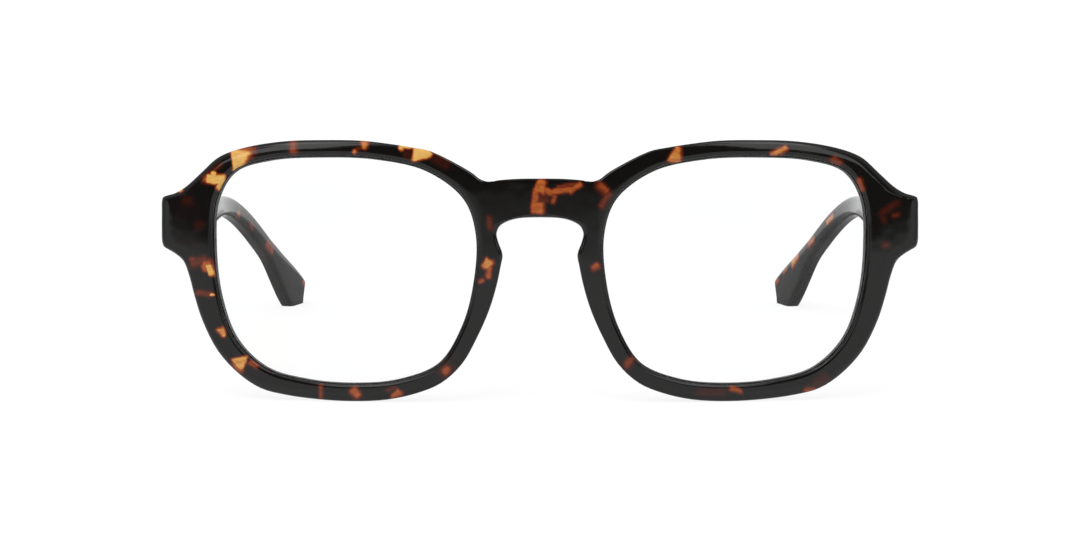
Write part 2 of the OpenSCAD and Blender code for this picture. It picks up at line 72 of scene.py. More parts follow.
def closeEnd(bm, ring):
    bmesh.ops.contextual_create(bm, geom=ring)


def nextRing(bm, ring, points):
    # extrudes a closed ring and lays its new points on the given places, or starts with a closed end
    if not ring:
        ring = firstRing(bm, points)
        closeEnd(bm, ring)
        return ring
    count = len(ring)
    edges = [bm.edges.get((ring[i], ring[(i + 1) % count])) for i in range(count)]
    extruded = bmesh.ops.extrude_edge_only(bm, edges=edges)["geom"]
    fresh = {g for g in extruded if isinstance(g, bmesh.types.BMVert)}
    ring = [next(e.other_vert(v) for e in v.link_edges if e.other_vert(v) in fresh) for v in ring]
    for v, p in zip(ring, points):
        v.co = p
    return ring


def makeTidy(bm, near=1e-4):
    bmesh.ops.remove_doubles(bm, verts=bm.verts, dist=near)
    bmesh.ops.dissolve_degenerate(bm, edges=bm.edges, dist=near / 2)
    bmesh.ops.recalc_face_normals(bm, faces=bm.faces)


def cutFlat(bm, place, towards):
    # slices everything off on the far side of a plane and closes the cut
    cut = bmesh.ops.bisect_plane(
        bm, geom=bm.verts[:] + bm.edges[:] + bm.faces[:], dist=1e-5,
        plane_co=place, plane_no=towards, clear_outer=True)
    rim = [g for g in cut["geom_cut"] if isinstance(g, bmesh.types.BMEdge)]
    bmesh.ops.holes_fill(bm, edges=rim, sides=0)


def toMetres(bm):
    bmesh.ops.scale(bm, vec=(0.001, 0.001, 0.001), verts=bm.verts)


def newObject(name, data):
    made = bpy.data.objects.new(name, data)
    scene.collection.objects.link(made)
    return made


def meshObject(bm, name):
    mesh = bpy.data.meshes.new(name)
    bm.to_mesh(mesh)
    bm.free()
    return newObject(name, mesh)


def shadeSoftly(mesh, crisp):
    # soft shading, with the edges that turn by more than an angle kept crisp
    mesh.polygons.foreach_set("use_smooth", [True] * len(mesh.polygons))
    mesh.set_sharp_from_angle(angle=radians(crisp))


def finishPiece(bm, name, material, crisp=35):
    toMetres(bm)
    piece = meshObject(bm, name)
    shadeSoftly(piece.data, crisp)
    piece.data.materials.append(material)
    return piece


def blockCutter(place, low, high):
    # a box from its lowest to its highest corner, in a place's own directions
    bm = bmesh.new()
    bmesh.ops.create_cube(bm, size=1)
    size = Vector(high) - Vector(low)
    bmesh.ops.scale(bm, vec=size, verts=bm.verts)
    bmesh.ops.translate(bm, vec=(Vector(high) + Vector(low)) / 2, verts=bm.verts)
    bmesh.ops.transform(bm, matrix=place, verts=bm.verts)
    return bm


def rodCutter(place, radius, start, end):
    bm = bmesh.new()
    bmesh.ops.create_cone(bm, cap_ends=True, segments=28, radius1=radius, radius2=radius, depth=end - start)
    bmesh.ops.translate(bm, vec=(0, 0, (start + end) / 2), verts=bm.verts)
    bmesh.ops.transform(bm, matrix=place, verts=bm.verts)
    return bm


def carve(piece, cutters, crisp=35):
    # cuts each shape out of a piece in turn, and keeps the result as its mesh
    for bm in cutters:
        toMetres(bm)
        tool = meshObject(bm, "cutter")
        cut = piece.modifiers.new("cut", "BOOLEAN")
        cut.operation, cut.solver, cut.object = "DIFFERENCE", "EXACT", tool
        bpy.context.view_layer.update()
        carved = bpy.data.meshes.new_from_object(piece.evaluated_get(bpy.context.evaluated_depsgraph_get()))
        piece.modifiers.remove(cut)
        piece.data = carved
        bpy.data.objects.remove(tool)
    piece.data.name = piece.name
    shadeSoftly(piece.data, crisp)


# Where everything stands: the middle of the front and the right hinge pin. pinOff is how far the pin stands off
# the end piece's flat, and off the temple's inner face.
standing = dict(lean=7.5, frontY=-66.5803, frontZ=24.9733, sheetRadius=400.0,
                pinX=65.1909, pinY=-55.2884, pinZ=32.4883, pinOff=1.35, slope=3.7, mitre=9.4923)
lean = radians(standing["lean"])
pinPlace = (standing["pinX"], standing["pinY"], standing["pinZ"])
ontoFront = Matrix.Translation((0, standing["frontY"], standing["frontZ"])) @ Matrix.Rotation(-lean, 4, "X")
atPin = Matrix.Translation(pinPlace) @ Matrix.Rotation(radians(-standing["slope"]), 4, "X")
atSeat = (atPin @ Matrix.Rotation(radians(standing["mitre"]), 4, "Z")
          @ Matrix.Translation((0, -standing["pinOff"], 0)))

# What is cut out at the hinges, each box from its lowest to its highest corner: the flat for the temple's head, the
# front leaf's pocket and the temple leaf's. The bore is the mouth of the core wire's channel.
hingeRoom = dict(headFlat=((-4.1, 0, -5.67), (3.9, 6, 5.67)), frontLeaf=((-3.53, -0.93, -3.28), (1.41, 0.87, 3.28)),
                 templeLeaf=((0, -0.655, -3.02), (2.28, 9.46, 3.02)), boreRadius=0.75, boreStart=-2, boreEnd=4)


def onSide(bm, side):
    if side < 0:
        bmesh.ops.scale(bm, vec=(-1, 1, 1), verts=bm.verts)
        bmesh.ops.reverse_faces(bm, faces=bm.faces)
    return bm


def onSheet(p, w):
    # u and v on the curved sheet's face, w deep into it
    r = standing["sheetRadius"]
    sag = r - sqrt(r * r - p.x * p.x - p.y * p.y)
    k = 1 - w / r
    return Vector((p.x * k, sag + w * (1 - sag / r), p.y * k))


# The camera looks square at the front from 600 mm
framing = dict(distance=600.0, pixelsPerMm=5.33, pictureWidth=1080, sensor=36.0, clip=(0.01, 50))


def makeCamera():
    data = bpy.data.cameras.new("camera")
    data.sensor_width = framing["sensor"]
    data.lens = framing["distance"] * framing["sensor"] * framing["pixelsPerMm"] / framing["pictureWidth"]
    data.clip_start, data.clip_end = framing["clip"]
    camera = newObject("camera", data)
    far = framing["distance"] / 1000
    camera.location = (0, standing["frontY"] / 1000 - far * cos(lean), standing["frontZ"] / 1000 + far * sin(lean))
    camera.rotation_euler = (pi / 2 - lean, 0, 0)
    scene.camera = camera


makeCamera()
print("camera placed")

# The acetate front, drawn flat, then laid on its curve. Its edge is rounded over the shoulder's width, but less on
# the bridge: bridgePoints and nosePoints count the points of the outline there, fadePoints those that change over.
front = dict(eyeWide=50.2, eyeHigh=43.2, eyeGap=23.4, thick=3.8, edge=0.9, shoulder=1.7, bridgeSoft=0.42,
             bridgePoints=6, nosePoints=10, fadePoints=4, lip=0.35, lipWide=0.8, lipDeep=0.6,
             rimTop=3.0, rimLow=3.2, rimNose=4.1, rimSide=4.65, bridgeTop=17.2, bridgeHigh=7.2,
             keyRound=8.2, keyNeck=7.1, endOut=10.1, endUp=9.0, endHigh=10.5,
             grooveShare=0.45, grooveDeep=0.5, grooveWide=1.3, steepest=0.5, middleBlend=4.0, arcSteps=8)
eyeU = (front["eyeGap"] + front["eyeWide"]) / 2
grooveAt = front["thick"] * front["grooveShare"]

# the opening as shares of its half width and half height, from the top outward and down
eyeShape = [
    (0.18, 1.00), (0.57, 0.975), (0.845, 0.875), (0.975, 0.635), (1.00, 0.235), (0.955, -0.23),
    (0.832, -0.61), (0.603, -0.863), (0.30, -0.965), (-0.05, -1.00), (-0.405, -0.965), (-0.71, -0.82),
    (-0.885, -0.50), (-0.975, -0.115), (-0.992, 0.31), (-0.90, 0.62), (-0.615, 0.873), (-0.225, 0.98)]
eyeKeys = [Vector((eyeU + x * front["eyeWide"] / 2, y * front["eyeHigh"] / 2)) for x, y in eyeShape]


def wayLeft(curve, t, step):
    # square to a curve, on the left of the way it runs
    d = (curve(t + step) - curve(t - step)).normalized()
    return Vector((-d.y, d.x))


def eyeAt(t):
    i = int(t // 1)
    return throughPoints(*[eyeKeys[(i + k) % len(eyeKeys)] for k in (-1, 0, 1, 2)], t - i)


def eyeOut(t):
    return wayLeft(eyeAt, t, 0.02)


def outerLine():
    # half the outer outline: the place on the opening that each point faces, and the point
    f = front
    gap, top, high = f["eyeGap"] / 2, f["bridgeTop"], f["bridgeHigh"]
    endU, out, endHigh = eyeU + f["eyeWide"] / 2 + f["endOut"], f["endOut"], f["endHigh"]
    endTop, endLow = f["endUp"] + endHigh / 2, f["endUp"] - endHigh / 2
    key, neck, keyTop = f["keyRound"], f["keyNeck"], top - high

    def rim(t, wide):
        return t, eyeAt(t) + eyeOut(t) * wide

    bridge = [(14.90, 0, 0), (15.12, 0.36, -0.007), (15.32, 0.675, -0.045), (15.47, 0.80, -0.085),
              (15.62, 0.95, -0.025), (15.82, 1.13, 0.19)]
    topRim = [(16.06, 1.17), (16.35, 1.05), (16.80, 1), (17.30, 1), (18.00, 1), (18.60, 1), (19.10, 1.02),
              (19.55, 1.05), (19.90, 1.17), (20.15, 1.33)]
    endTopSide = [(20.45, 0.75, 0.4), (20.65, 0.455, 0.148), (20.80, 0.257, 0.038), (20.95, 0.1, -0.005),
                  (21.10, 0.03, -0.033), (21.22, 0.003, -0.105), (21.40, 0, -0.305)]
    endLowSide = [(21.65, 0, 0.365), (21.80, 0.01, 0.152), (21.92, 0.045, 0.067), (22.03, 0.14, 0.01),
                  (22.14, 0.257, -0.057), (22.30, 0.416, -0.19)]
    sideRim = [(22.55, 1.11), (22.90, 1.02), (23.40, 0.95), (24.00, 0.88), (24.60, 0.84)]
    lowRim = [(25.10, 1.19), (25.60, 1.09), (26.30, 1.01), (27.00, 1), (27.70, 1), (28.30, 1), (28.80, 0.99),
              (29.30, 0.99), (29.90, 1.01)]
    keyhole = [(31.36, neck * 1.05, 1.13), (31.58, neck, 0.85), (31.78, mix(neck, key, 0.68), 0.585),
               (31.95, key, 0.38), (32.06, 0.94 * key, 0.213), (32.16, 0.78 * key, 0.104),
               (32.28, 0.51 * key, 0.025), (32.44, 0, 0)]
    return ([(t, Vector((x * gap, top + y * high))) for t, x, y in bridge]
            + [rim(t, k * f["rimTop"]) for t, k in topRim]
            + [(t, Vector((endU - x * out, endTop + y * endHigh))) for t, x, y in endTopSide]
            + [(t, Vector((endU - x * out, endLow + y * endHigh))) for t, x, y in endLowSide]
            + [rim(t, k * f["rimSide"]) for t, k in sideRim] + [rim(t, k * f["rimLow"]) for t, k in lowRim]
            + [rim(30.50, 0.89 * f["rimNose"]), rim(31.00, f["rimNose"])]
            + [(t, Vector((x, keyTop - y * key))) for t, x, y in keyhole])


outer = outerLine()


def outerKey(i):
    last = len(outer) - 1
    if i < 0 or i > last:
        p = outer[-i if i < 0 else 2 * last - i][1]
        return Vector((-p.x, p.y))
    return outer[i][1]


def outerAt(q):
    i = min(int(q // 1), len(outer) - 2)
    return throughPoints(*[outerKey(i + k) for k in (-1, 0, 1, 2)], q - i)


def outerOut(q):
    if q <= 0 or q >= len(outer) - 1:
        return Vector((0, 1 if q <= 0 else -1))
    return wayLeft(outerAt, q, 0.03)


def frontStations(fine=4, join=8):
    # round the outline, then down the middle line: opening point, its way out, outer point, its way out,
    # and how much of the full rounding the edge gets there
    f = front
    rows = []
    for k in range((len(outer) - 1) * fine + 1):
        q = k / fine
        i = min(int(q), len(outer) - 2)
        t = mix(outer[i][0], outer[i + 1][0], q - i)
        away = min(q - f["bridgePoints"], len(outer) - f["nosePoints"] - q) / f["fadePoints"]
        rows.append((eyeAt(t), eyeOut(t), outerAt(q), outerOut(q), mix(f["bridgeSoft"], 1, ease(away))))
    low, high = outer[-1], outer[0]
    soft = f["shoulder"] * f["bridgeSoft"]
    for k in range(1, join):
        t = mix(low[0], high[0] + len(eyeShape), k / join)
        y = mix(low[1].y + soft, high[1].y - soft, k / join)
        rows.append((eyeAt(t), eyeOut(t), Vector((0, y)), Vector((0, 0)), f["bridgeSoft"]))
    return rows


def frontSection():
    # closed section: how far across the rim, distance in from its edge, depth
    f = front
    arc = [pi / 2 * k / f["arcSteps"] for k in range(f["arcSteps"] + 1)]
    small = arc[::2]
    across = (0.12, 0.3, 0.5, 0.7, 0.88)
    rows = [(0, f["shoulder"] * (1 - sin(a)), f["edge"] * (1 - cos(a))) for a in reversed(arc)]
    rows += [(s, 0, 0) for s in across]
    rows += [(1, f["lipWide"] * (1 - sin(a)), f["lipDeep"] * (1 - cos(a))) for a in arc]
    rows += [(1, 0, grooveAt - f["grooveWide"] / 2), (1, f["grooveDeep"], grooveAt),
             (1, 0, grooveAt + f["grooveWide"] / 2)]
    rows += [(1, f["lip"] * (1 - sin(a)), f["thick"] - f["lip"] * (1 - cos(a))) for a in reversed(small)]
    rows += [(s, 0, f["thick"]) for s in reversed(across)]
    rows += [(0, f["shoulder"] * (1 - sin(a)), f["thick"] - f["edge"] * (1 - cos(a))) for a in arc]
    return rows


def inFrom(out, outWay, eye, d, full):
    # a point d in from the outer edge, which turns from straight in to towards the opening
    straight = out - outWay * d
    if d == 0 or not outWay.length or abs(out.x) < 1e-6:
        return straight
    way = (eye - out).normalized()
    slanted = out + way * d / max(front["steepest"], -way.dot(outWay))
    return mix(straight, slanted, ease(d / full) * min(1, abs(out.x) / front["middleBlend"]))


def makeFront(material):
    stations = frontStations()

    def laid(row):
        across, inset, depth = row
        points = []
        for eye, eyeWay, out, outWay, soft in stations:
            full = front["shoulder"] * soft
            a = inFrom(out, outWay, eye, full if across else inset * soft, full)
            b = eye + eyeWay * (inset if across == 1 else front["lipWide" if depth == 0 else "lip"])
            face = 0 if depth < grooveAt else front["thick"]
            deep = depth if across else mix(face, depth, soft)
            points.append(onSheet(mix(a, b, across), deep))
        return points

    bm = bmesh.new()
    rows = frontSection()
    ring = firstRing(bm, laid(rows[0]))
    for row in rows[1:] + rows[:1]:
        ring = nextRing(bm, ring, laid(row))
    middle = [f for f in bm.faces if all(abs(v.co.x) < 1e-5 for v in f.verts)]
    bmesh.ops.delete(bm, geom=middle, context="FACES")
    bmesh.ops.remove_doubles(bm, verts=bm.verts, dist=1e-4)
    bmesh.ops.mirror(bm, geom=bm.verts[:] + bm.edges[:] + bm.faces[:], axis="X", merge_dist=1e-4)
    makeTidy(bm)
    bmesh.ops.transform(bm, matrix=ontoFront, verts=bm.verts)
    cutFlat(bm, (0, 0, 0), (0, 0, -1))
    piece = finishPiece(bm, "frontAcetate", material)
    carve(piece, [onSide(blockCutter(atSeat, *hingeRoom[room]), side)
                  for side in sides.values() for room in ("headFlat", "frontLeaf")])
    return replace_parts(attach(piece, "front_frame"), "front")


# The temples: straight from the hinge, then down and inward round the ear, and wider to the tip, whose end is cut
# upright. headRings give the rings at the head: how far behind the cut, how much smaller, how much less rounded.
temple = dict(long=130.5, bendAt=86.0, bendLong=40.0, drop=33.5613, toeIn=18.0, toeAt=59.0, thick=4.0, tipThick=3.4,
              headHigh=10.395, headStart=5.25, buttGap=0.12, bendHigh=4.2, flareAt=106.0, flareDown=0.5,
              flareOver=10.0, tipHigh=9.2, tipRound=1.6, endRound=0.7, upright=8.0, uprightSoft=2.0,
              uprightBack=0.5, corner=0.9, dome=0.13, domeFrom=14.0, domeOver=20.0,
              headSteps=20, bendSteps=40, flareSteps=14, tipSteps=8, endSteps=5, longestStep=1.0)
headRings = [(0, 0.24, 0.1), (0.04, 0.08, 0), (0.14, 0, 0), (1.2, 0, 0)]


def headingAt(s):
    f = temple
    fall = radians(mix(standing["slope"], f["drop"], ease((s - f["bendAt"]) / f["bendLong"] + 0.5)))
    toe = radians(f["toeIn"] * ease((s - f["toeAt"]) / (f["bendAt"] + f["bendLong"] / 2 - f["toeAt"])))
    return Vector((-sin(toe) * cos(fall), cos(toe) * cos(fall), -sin(fall)))


def templeSize(s):
    # thickness and height, with the tip's corners rounded and its end softened
    f = temple
    square = f["long"] - f["tipRound"]
    wide = mix(f["thick"], f["tipThick"], ease((s - 2 * f["headStart"]) / (f["bendAt"] - 2 * f["headStart"])))
    high = mix(f["headHigh"], f["bendHigh"], ease((s - f["headStart"]) / (f["bendAt"] - 3 * f["headStart"])))
    if s > f["flareAt"]:
        high = mix(f["bendHigh"], f["tipHigh"], ease((s - f["flareAt"]) / (square - f["flareAt"])))
    if s > square:
        high -= 2 * (f["tipRound"] - sqrt(max(f["tipRound"] ** 2 - (s - square) ** 2, 0)))
    soft = f["endRound"] - (f["long"] - s)
    if soft > 0:
        less = f["endRound"] - sqrt(max(f["endRound"] ** 2 - soft ** 2, 0))
        wide, high = wide - 2 * less, high - less
    return wide, high


def roundedSection(wide, high, r, dome=0.0, fine=6):
    # a rectangle with round corners and points between them, its tall sides swelling a little to the middle
    r = min(r, wide / 2 - 0.01, high / 2 - 0.01)
    points = []
    for c, (sx, sy) in enumerate([(1, 1), (-1, 1), (-1, -1), (1, -1)]):
        for j in range(fine + 1):
            a = pi / 2 * (c + j / fine)
            points.append((sx * (wide / 2 - r) + r * cos(a), sy * (high / 2 - r) + r * sin(a)))
        if c in (0, 2):
            points += [(points[-1][0] * k, points[-1][1]) for k in (0.4, -0.4)]
        else:
            points += [(points[-1][0], points[-1][1] * k / 4) for k in (3, 2, 1, 0, -1, -2, -3)]
    return [(x * (1 - dome * (2 * y / high) ** 2), y) for x, y in points]


def templeStops():
    # where the temple gets a ring, closer together where its shape changes
    f = temple
    bend0, bend1 = f["bendAt"] - f["bendLong"] / 2, f["bendAt"] + f["bendLong"] / 2
    square = f["long"] - f["tipRound"]
    stops = []
    for start, end, steps in ((f["headStart"], bend0, f["headSteps"]), (bend0, bend1, f["bendSteps"]),
                              (bend1, square, f["flareSteps"])):
        stops += [mix(start, end, k / steps) for k in range(steps)]
    stops += [square + f["tipRound"] * sin(pi / 2 * k / f["tipSteps"]) for k in range(f["tipSteps"] - 1)]
    stops += [f["long"] - f["endRound"] * (1 - sin(pi / 2 * k / f["endSteps"])) for k in (3, 4, 5)]
    return sorted(set(round(s, 4) for s in stops))


def templeRing(s, at):
    # the section at a distance from the pin. The flare hangs lower, and near the tip the lower part of each ring
    # goes on further, which leaves the end upright.
    f = temple
    ahead = headingAt(s)
    across = ahead.cross(Vector((0, 0, 1))).normalized()
    up = across.cross(ahead)
    slant = tan(radians(f["drop"])) * ease((s - f["long"]) / f["upright"] + 1)
    wide, high = templeSize(s)
    lower = max(high - f["bendHigh"], 0) / 2 * f["flareDown"] * ease((s - f["flareAt"]) / f["flareOver"])
    dome = f["dome"] * ease((s - f["domeFrom"]) / f["domeOver"])
    points = []
    for x, z in roundedSection(wide, high, f["corner"], dome):
        further = sqrt(z * z + f["uprightSoft"] ** 2) - z - f["uprightBack"]
        points.append(at + across * x + up * (z - lower) + ahead * further / 2 * slant)
    return points


def makeTemple(name, side, material):
    f = temple
    inward = standing["pinOff"] + f["thick"] / 2
    tilt, turn = radians(standing["slope"]), radians(standing["mitre"])

    def onMitre(gap, section):
        # the head is cut to the end piece's flat, a gap behind it
        points = []
        for x, z in section:
            y = (gap - standing["pinOff"] + (inward + x) * sin(turn)) / cos(turn)
            points.append(Vector((inward + x, y * cos(tilt) + z * sin(tilt), z * cos(tilt) - y * sin(tilt))))
        return points

    bm = bmesh.new()
    ring = None
    for behind, less, sharper in headRings:
        section = roundedSection(f["thick"] - less, f["headHigh"] - less, f["corner"] - sharper)
        ring = nextRing(bm, ring, onMitre(f["buttGap"] + behind, section))
    at, s = Vector((inward, 0, 0)), 0.0
    for stop in templeStops():
        pieces = max(1, round((stop - s) / f["longestStep"]))
        for k in range(pieces):
            at = at + headingAt(s + (stop - s) * (k + 0.5) / pieces) * ((stop - s) / pieces)
        s = stop
        ring = nextRing(bm, ring, templeRing(s, at))
    closeEnd(bm, ring)
    bmesh.ops.translate(bm, vec=pinPlace, verts=bm.verts)
    makeTidy(bm)
    cutFlat(bm, (0, 0, 0), (0, 0, -1))
    onSide(bm, side)
    piece = finishPiece(bm, name, material)
    leaf = blockCutter(atPin, *hingeRoom["templeLeaf"])
    alongTemple = atPin @ Matrix.Translation((inward, 0, 0)) @ Matrix.Rotation(-pi / 2, 4, "X")
    bore = rodCutter(alongTemple, hingeRoom["boreRadius"], hingeRoom["boreStart"], hingeRoom["boreEnd"])
    carve(piece, [onSide(leaf, side), onSide(bore, side)])
    word = "left" if side < 0 else "right"
    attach(piece, word + "_temple")
    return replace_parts(piece, "temple_" + word)


# A lens: two faces on the front's curve, and an edge bevelled into the groove
lensSizes = dict(thick=2.0, play=0.04, inFromWall=0.06, chamfer=0.12, chamferBend=0.03, bevelDeep=0.46,
                 bevelHalf=0.546, around=216, shares=(0.04, 0.15, 0.3, 0.45, 0.6, 0.75, 0.88, 0.97))


def makeLens(name, side, material, shadedGroundEdge):
    f = lensSizes
    places = [mix(0, len(eyeShape), k / f["around"]) for k in range(f["around"])]
    middle = Vector((eyeU, 0))
    front0, back0 = grooveAt - f["thick"] / 2, grooveAt + f["thick"] / 2

    def laid(out, depth, share=1.0):
        edge = [eyeAt(t) + eyeOut(t) * (out - f["play"]) for t in places]
        return [onSheet(middle + (p - middle) * share, depth) for p in edge]

    inset, safe, bend = -f["inFromWall"], f["chamfer"], f["chamferBend"]
    bm = bmesh.new()
    ring = None
    for share in f["shares"]:
        ring = nextRing(bm, ring, laid(inset, front0, share))
    edge = [(inset - safe, front0), (inset - bend, front0 + bend), (inset, front0 + safe),
            (inset, grooveAt - f["bevelHalf"]), (f["bevelDeep"], grooveAt), (inset, grooveAt + f["bevelHalf"]),
            (inset, back0 - safe), (inset - bend, back0 - bend), (inset - safe, back0)]
    ring = nextRing(bm, ring, laid(*edge[0]))
    polished = len(bm.faces)
    for out, depth in edge[1:]:
        ring = nextRing(bm, ring, laid(out, depth))
    edged = len(bm.faces)
    for share in reversed(f["shares"]):
        ring = nextRing(bm, ring, laid(inset, back0, share))
    closeEnd(bm, ring)
    for i, face in enumerate(bm.faces):
        face.material_index = 1 if polished <= i < edged else 0
    bmesh.ops.transform(bm, matrix=ontoFront, verts=bm.verts)
    makeTidy(bm)
    piece = finishPiece(onSide(bm, side), name, material, crisp=8)
    piece.data.materials.append(shadedGroundEdge)
    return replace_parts(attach(piece, "front_frame"), "lens_" + ("left" if side < 0 else "right"))


# A nose pad: a smooth ramp built up behind the rim beside the nose. edgeIn and lipIn keep it off the roundings, as
# multiples of their radii.
pad = dict(long=15.0, deep=5.4, splay=22.0, bond=0.04, middle=30.6, edgeIn=1.1, lipIn=1.7, ends=0.045,
           rise=(0.04, 0.92), fullness=0.8, crown=0.055)


def outerPlaceOf(t):
    # how far along the outline the point is that faces a place on the opening
    for i in range(len(outer) - 1):
        if outer[i][0] <= t <= outer[i + 1][0]:
            return i + (t - outer[i][0]) / (outer[i + 1][0] - outer[i][0])


def makePad(name, side, material, rings=18):
    f = pad
    half = f["long"] / 2 / (eyeAt(31) - eyeAt(30)).length
    bm = bmesh.new()
    ring = None
    for k in range(rings + 1):
        share = k / rings
        t = f["middle"] + half * (2 * share - 1)
        q = outerPlaceOf(t)
        a = outerAt(q) - outerOut(q) * front["edge"] * f["edgeIn"]
        b = eyeAt(t) + eyeOut(t) * front["lip"] * f["lipIn"]
        wide = (b - a).length
        d = f["deep"] * mix(f["ends"], 1, sin(pi * (f["rise"][0] + f["rise"][1] * share)) ** f["fullness"])
        o, n = d * tan(radians(f["splay"])), f["deep"] * f["crown"]
        # its section there: across the rim, and how high
        flat = [(0, 0), (o * 0.22, d * 0.4), (o * 0.7, d * 0.85), (o + n, d), (o + 3 * n, d * 0.9),
                (mix(o + 4 * n, wide, 0.3), d * 0.55), (wide * 0.97, d * 0.18), (wide, 0)]
        ring = nextRing(bm, ring, [onSheet(a + (b - a) / wide * x, front["thick"] + f["bond"] + y) for x, y in flat])
    closeEnd(bm, ring)
    bmesh.ops.transform(bm, matrix=ontoFront, verts=bm.verts)
    makeTidy(bm)
    piece = finishPiece(onSide(bm, side), name, material, crisp=80)
    smooth = piece.modifiers.new("smooth", "SUBSURF")
    smooth.levels = smooth.render_levels = 2
    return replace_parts(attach(piece, "front_frame"), "nose_pad_" + ("left" if side < 0 else "right"))


# Materials. A small kit first: nodes, sums, ranges, mappings, noise, ramps, mixes, a new material and a new group
def setInputs(tree, node, values):
    for key, value in values.items():
        if isinstance(value, bpy.types.NodeSocket):
            tree.links.new(value, node.inputs[key])
        else:
            node.inputs[key].default_value = value


def addNode(tree, kind, values=None, **settings):
    node = tree.nodes.new("ShaderNode" + kind)
    for key, value in settings.items():
        setattr(node, key, value)
    setInputs(tree, node, values or {})
    return node


def mathNode(tree, operation, a, b=None, clamp=False):
    values = {0: a} if b is None else {0: a, 1: b}
    return addNode(tree, "Math", values, operation=operation, use_clamp=clamp).outputs[0]


def times(tree, a, b):
    return mathNode(tree, "MULTIPLY", a, b)


def vectorNode(tree, operation, a, b=None, result=0):
    values = {0: a} if b is None else {0: a, 1: b}
    return addNode(tree, "VectorMath", values, operation=operation).outputs[result]


def rangeNode(tree, value, start, end, low=0.0, high=1.0, **settings):
    # start to end becomes low to high, and stays there beyond
    values = {"Value": value, "From Min": start, "From Max": end, "To Min": low, "To Max": high}
    return addNode(tree, "MapRange", values, **settings).outputs[0]


def mapped(tree, place, scale, turn=(0, 0, 0), move=(0, 0, 0)):
    values = {"Vector": place, "Location": move, "Rotation": turn, "Scale": scale}
    return addNode(tree, "Mapping", values).outputs[0]


def noiseNode(tree, place, scale, detail, roughness=0.5):
    return addNode(tree, "TexNoise", {"Vector": place, "Scale": scale, "Detail": detail, "Roughness": roughness})


def rampNode(tree, value, stops):
    # stops are places and colours, the first and the last being there already
    ramp = addNode(tree, "ValToRGB", {"Fac": value})
    elements = ramp.color_ramp.elements
    for element, (place, colour) in zip(elements, (stops[0], stops[-1])):
        element.position, element.color = place, (*colour, 1)
    for place, colour in stops[1:-1]:
        elements.new(place).color = (*colour, 1)
    return ramp.outputs["Color"]


def mixValues(tree, factor, a, b):
    return addNode(tree, "Mix", {0: factor, 2: a, 3: b}).outputs[0]


def mixColours(tree, factor, a, b, blend="MIX"):
    # the sockets that carry colour are picked by their type
    node = addNode(tree, "Mix", {"Factor": factor}, data_type="RGBA", blend_type=blend)
    keys = [i for i, socket in enumerate(node.inputs) if socket.type == "RGBA"]
    setInputs(tree, node, dict(zip(keys, (a, b))))
    return [socket for socket in node.outputs if socket.type == "RGBA"][0]


def newMaterial(name):
    material = bpy.data.materials.new(name)
    material.use_nodes = True
    tree = material.node_tree
    return material, tree, tree.nodes["Principled BSDF"], addNode(tree, "TexCoord").outputs["Object"]


def newGroup(name, inputs, outputs):
    group = bpy.data.node_groups.new(name, "ShaderNodeTree")
    for way, sockets in (("INPUT", inputs), ("OUTPUT", outputs)):
        for label, kind in sockets:
            group.interface.new_socket(name=label, in_out=way, socket_type="NodeSocket" + kind)
    return group, group.nodes.new("NodeGroupInput"), group.nodes.new("NodeGroupOutput")


# Tortoiseshell acetate: its colours, how its chips are shaped and frayed, and the chips strewn where none is drawn
shellColours = dict(
    ground=(0.0056, 0.0050, 0.0045), cloud=(0.0125, 0.0052, 0.0040), deep=(0.042, 0.0075, 0.0038),
    red=(0.17, 0.027, 0.008), orange=(0.41, 0.092, 0.018), amber=(0.68, 0.345, 0.080), light=(0.80, 0.475, 0.135))
shellStops = dict(ground=0.0, deep=0.10, red=0.25, orange=0.46, amber=0.70, light=1.0)
shellLook = dict(
    chipCorner=0.15, chipDeep=1.7, chipDepth=0.4, crispSide=0.8, fadeSide=-1.0, seam=1.5,
    pull=0.6, pullSize=0.22, fray=0.5, fraySize=0.9, streak=0.5, streakTurn=(0, 0.6, 0), streakSize=(0.5, 0.3, 1.5),
    streakRange=(0.3, 0.7), cloudSize=0.11, cloudRange=(0.48, 0.72), refraction=1.49)
wildLook = dict(
    pull=4.0, fray=0.8, turn=(0.5, 0.4, 0.7), size=(0.075, 0.12, 0.14), chosen=(0.55, 0.95), full=2.6, fall=8.5,
    frontBehind=(1.8, 2.8), innerFace=66.5, innerBend=0.0029, innerPast=(3.4, 4.2), innerHead=(-4.0, -9.0))
polishLook = dict(gloss=0.04, haze=0.14, cloudSize=0.35, rubSize=3.0, rippleSize=0.25, ripple=0.12, rippleDeep=0.0002)


